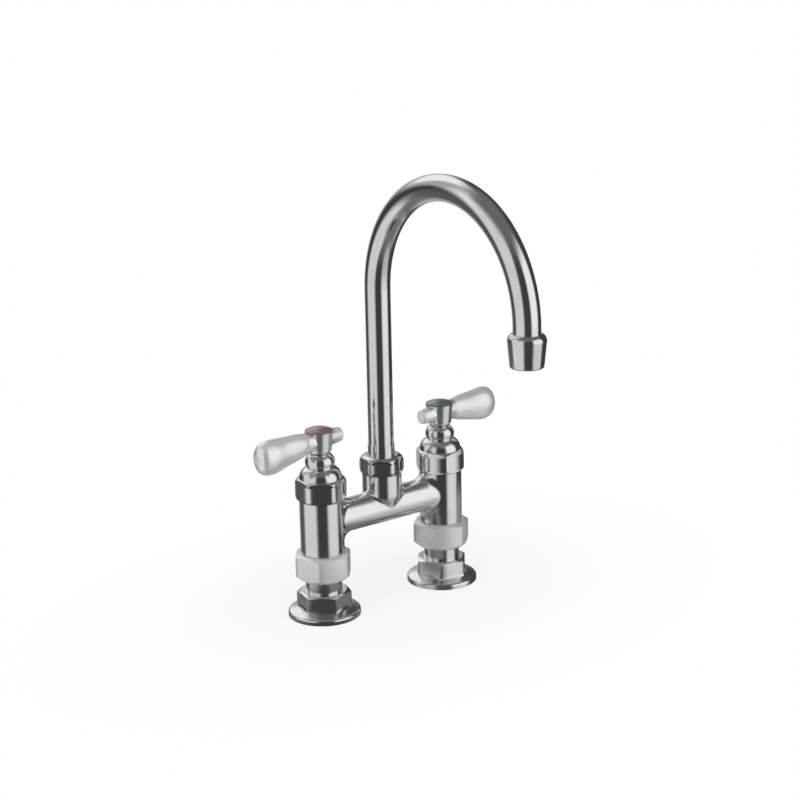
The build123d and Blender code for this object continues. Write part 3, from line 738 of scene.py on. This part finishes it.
class TAP_OT_studio(bpy.types.Operator):
    """Floor, light from the studio's panels, overhead lamp and camera"""

    bl_idname = "tap.studio"
    bl_label = "Studio"

    def execute(self, context):
        studio = context.scene.tap_studio
        self.light_world(context.scene, studio)
        self.lay_floor(studio)
        self.hang_lamp(context.scene, studio)
        self.place_camera(context.scene, studio)
        context.scene.view_settings.view_transform = "Standard"
        return {"FINISHED"}

    def shine(self, view, panel):
        """1 where a ray meets a panel, and 0 outside its soft edges."""
        east, north, rise, level = view
        heading = radians(panel.heading)
        facing = (east * cos(heading) + north * sin(heading)) / level
        outside = cos(radians(panel.half_width + panel.edge))
        inside = cos(radians(panel.half_width - panel.edge))
        across = facing.between(outside, inside)
        return across * rise.between(*panel.foot) * (1.0 - rise.between(*panel.top))

    def light_world(self, scene, studio):
        """White behind the object for the camera, panels for reflections, plain fill elsewhere."""
        world = bpy.data.worlds.new("studio")
        scene.world = world
        shader = Shader(world)
        east, north, rise = shader.split(shader.add("ShaderNodeTexCoord", output="Generated"))
        level = (east * east + north * north + LEAST_LEVEL).root()
        view = (east, north, rise, level)
        climb = RIGHT_FOOT + (1.0 - RIGHT_FOOT) * rise.between(*RIGHT_CLIMB)
        seen = studio.dark + self.shine(view, LEFT_PANEL) * studio.left_panel
        seen = seen + self.shine(view, RIGHT_PANEL) * climb * studio.right_panel
        seen = seen + self.shine(view, BACKDROP) * studio.backdrop
        seen = seen + self.shine(view, GLOW) * studio.glow
        seen = seen + self.shine(view, HAZE) * studio.haze
        seen = seen + self.shine(view, WASH) * studio.wash
        seen = seen + (1.0 - rise.between(*GROUND_FADE)) * studio.ground
        seen = seen + rise.between(*CEILING_FADE) * studio.ceiling
        glossy, camera = shader.ray("Glossy"), shader.ray("Camera")
        shade = camera + glossy * seen + (1.0 - glossy) * (1.0 - camera) * studio.fill
        tone = shader.mix(shade, grey(0.0), grey(1.0))
        light = shader.add("ShaderNodeBackground", None, {"Color": tone})
        shader.add("ShaderNodeOutputWorld", None, {"Surface": light})

    def lay_floor(self, studio):
        """A white floor that keeps the shadow, and through which the metal sees the world below.

        Near the tap the metal sees painted shade on it instead, with a darker painted core, and a
        patch of lamp-lit floor shown as painted light.
        """
        built = bmesh.new()
        bmesh.ops.create_grid(built, x_segments=1, y_segments=1, size=studio.floor / 2)
        material, shader = new_shader("floor_white")
        clear = shader.add("ShaderNodeBsdfTransparent")
        white = shader.add("ShaderNodeEmission", None, {"Color": grey(1.0)})
        matt, dim, deep = map(shader.matt, (FLOOR_MATT, FLOOR_PAINTED_SHADE, FLOOR_PAINTED_CORE))
        core_fade = [share * studio.shade for share in CORE_FADE]
        shade_fade = [share * studio.shade for share in SHADE_FADE]
        core = shader.distance(studio.core_at).between(*core_fade)
        shade = shader.distance(studio.shade_at).between(*shade_fade)
        glare = 1.0 - shader.distance(studio.glare_at).between(*GLARE_FADE)
        # Painted shade with a darker painted core, which only the metal's reflections see; beyond
        # it they see through the floor
        mirrored = shader.blend(shade, shader.blend(core, deep, dim), clear)
        # Painted pool of light: the floor is lit by the lamp, but the metal sees it only in this
        # patch
        mirrored = shader.blend(GLARE * glare, mirrored, matt)
        east, north, _ = shader.split(shader.place())
        away = (SIDEWAYS * east * east + north * north).root().between(*WHITE_FADE)
        lifted = shader.blend(FLOOR_WHITE + (1.0 - FLOOR_WHITE) * away, matt, white)
        seen = shader.blend(shader.ray("Camera"), matt, lifted)
        seen = shader.blend(shader.ray("Glossy"), seen, mirrored)
        shader.add("ShaderNodeOutputMaterial", None, {"Surface": seen})
        floor = new_piece("studio_floor", built, material)

    def hang_lamp(self, scene, studio):
        """A wide soft lamp over the tap, which the metal doesn't reflect."""
        data = bpy.data.lights.new("overhead", "AREA")
        data.shape = "SQUARE"
        data.size = LAMP_SIDE
        data.energy = studio.lamp
        lamp = bpy.data.objects.new("overhead", data)
        lamp.location = LAMP_AT
        lamp.rotation_euler = (LAMP_AIM - LAMP_AT).to_track_quat("-Z", "Y").to_euler()
        lamp.visible_glossy = False
        scene.collection.objects.link(lamp)

    def place_camera(self, scene, studio):
        """The camera, turned by its three angles from a level look along +Y."""
        turn, dip, roll = studio.azimuth, studio.elevation, studio.roll
        aside = Vector((cos(turn), sin(turn), 0.0))
        ahead = Vector((-sin(turn) * cos(dip), cos(turn) * cos(dip), -sin(dip)))
        above = aside.cross(ahead)
        right = aside * cos(roll) + above * sin(roll)
        up = above * cos(roll) - aside * sin(roll)
        axes = Matrix((right, up, -ahead)).transposed()
        data = bpy.data.cameras.new("camera")
        data.lens = studio.focal_length
        data.sensor_width = SENSOR_WIDTH_MM
        data.clip_start = CLIP_START
        camera = bpy.data.objects.new("camera", data)
        camera.matrix_world = Matrix.Translation(studio.camera) @ axes.to_4x4()
        scene.collection.objects.link(camera)
        scene.camera = camera


GROUPS = {"tap_finishes": TapFinishes, "tap_thread": TapThread, "tap_studio": TapStudio}
STEPS = (
    TAP_OT_castings,
    TAP_OT_spout,
    TAP_OT_inlets,
    TAP_OT_coupling_nuts,
    TAP_OT_levers,
    TAP_OT_cartridges,
    TAP_OT_inlet_threads,
    TAP_OT_studio,
)


class TAP_PT_panel(bpy.types.Panel):
    """Lists the steps that finish the tap, and what can be changed in them"""

    bl_idname = "TAP_PT_panel"
    bl_label = "Bridge mixer tap"
    bl_space_type = "VIEW_3D"
    bl_region_type = "UI"
    bl_category = "Tap"

    def draw(self, context):
        for step in STEPS:
            self.layout.operator(step.bl_idname)
        for group_name in GROUPS:
            group = getattr(context.scene, group_name)
            box = self.layout.box()
            for name in group.bl_rna.properties.keys():
                if name not in ("rna_type", "name"):
                    box.prop(group, name)


def register():
    for group in GROUPS.values():
        bpy.utils.register_class(group)
    for step in STEPS:
        bpy.utils.register_class(step)
    bpy.utils.register_class(TAP_PT_panel)
    for name, group in GROUPS.items():
        setattr(bpy.types.Scene, name, PointerProperty(type=group))


def unregister():
    for name in GROUPS:
        delattr(bpy.types.Scene, name)
    bpy.utils.unregister_class(TAP_PT_panel)
    for step in reversed(STEPS):
        bpy.utils.unregister_class(step)
    for group in GROUPS.values():
        bpy.utils.unregister_class(group)


def main():
    register()
    bpy.ops.tap.castings()
    bpy.ops.tap.spout()
    bpy.ops.tap.inlets()
    bpy.ops.tap.coupling_nuts()
    bpy.ops.tap.levers()
    bpy.ops.tap.cartridges()
    bpy.ops.tap.inlet_threads()
    bpy.ops.tap.studio()


if __name__ == "__main__":
    main()
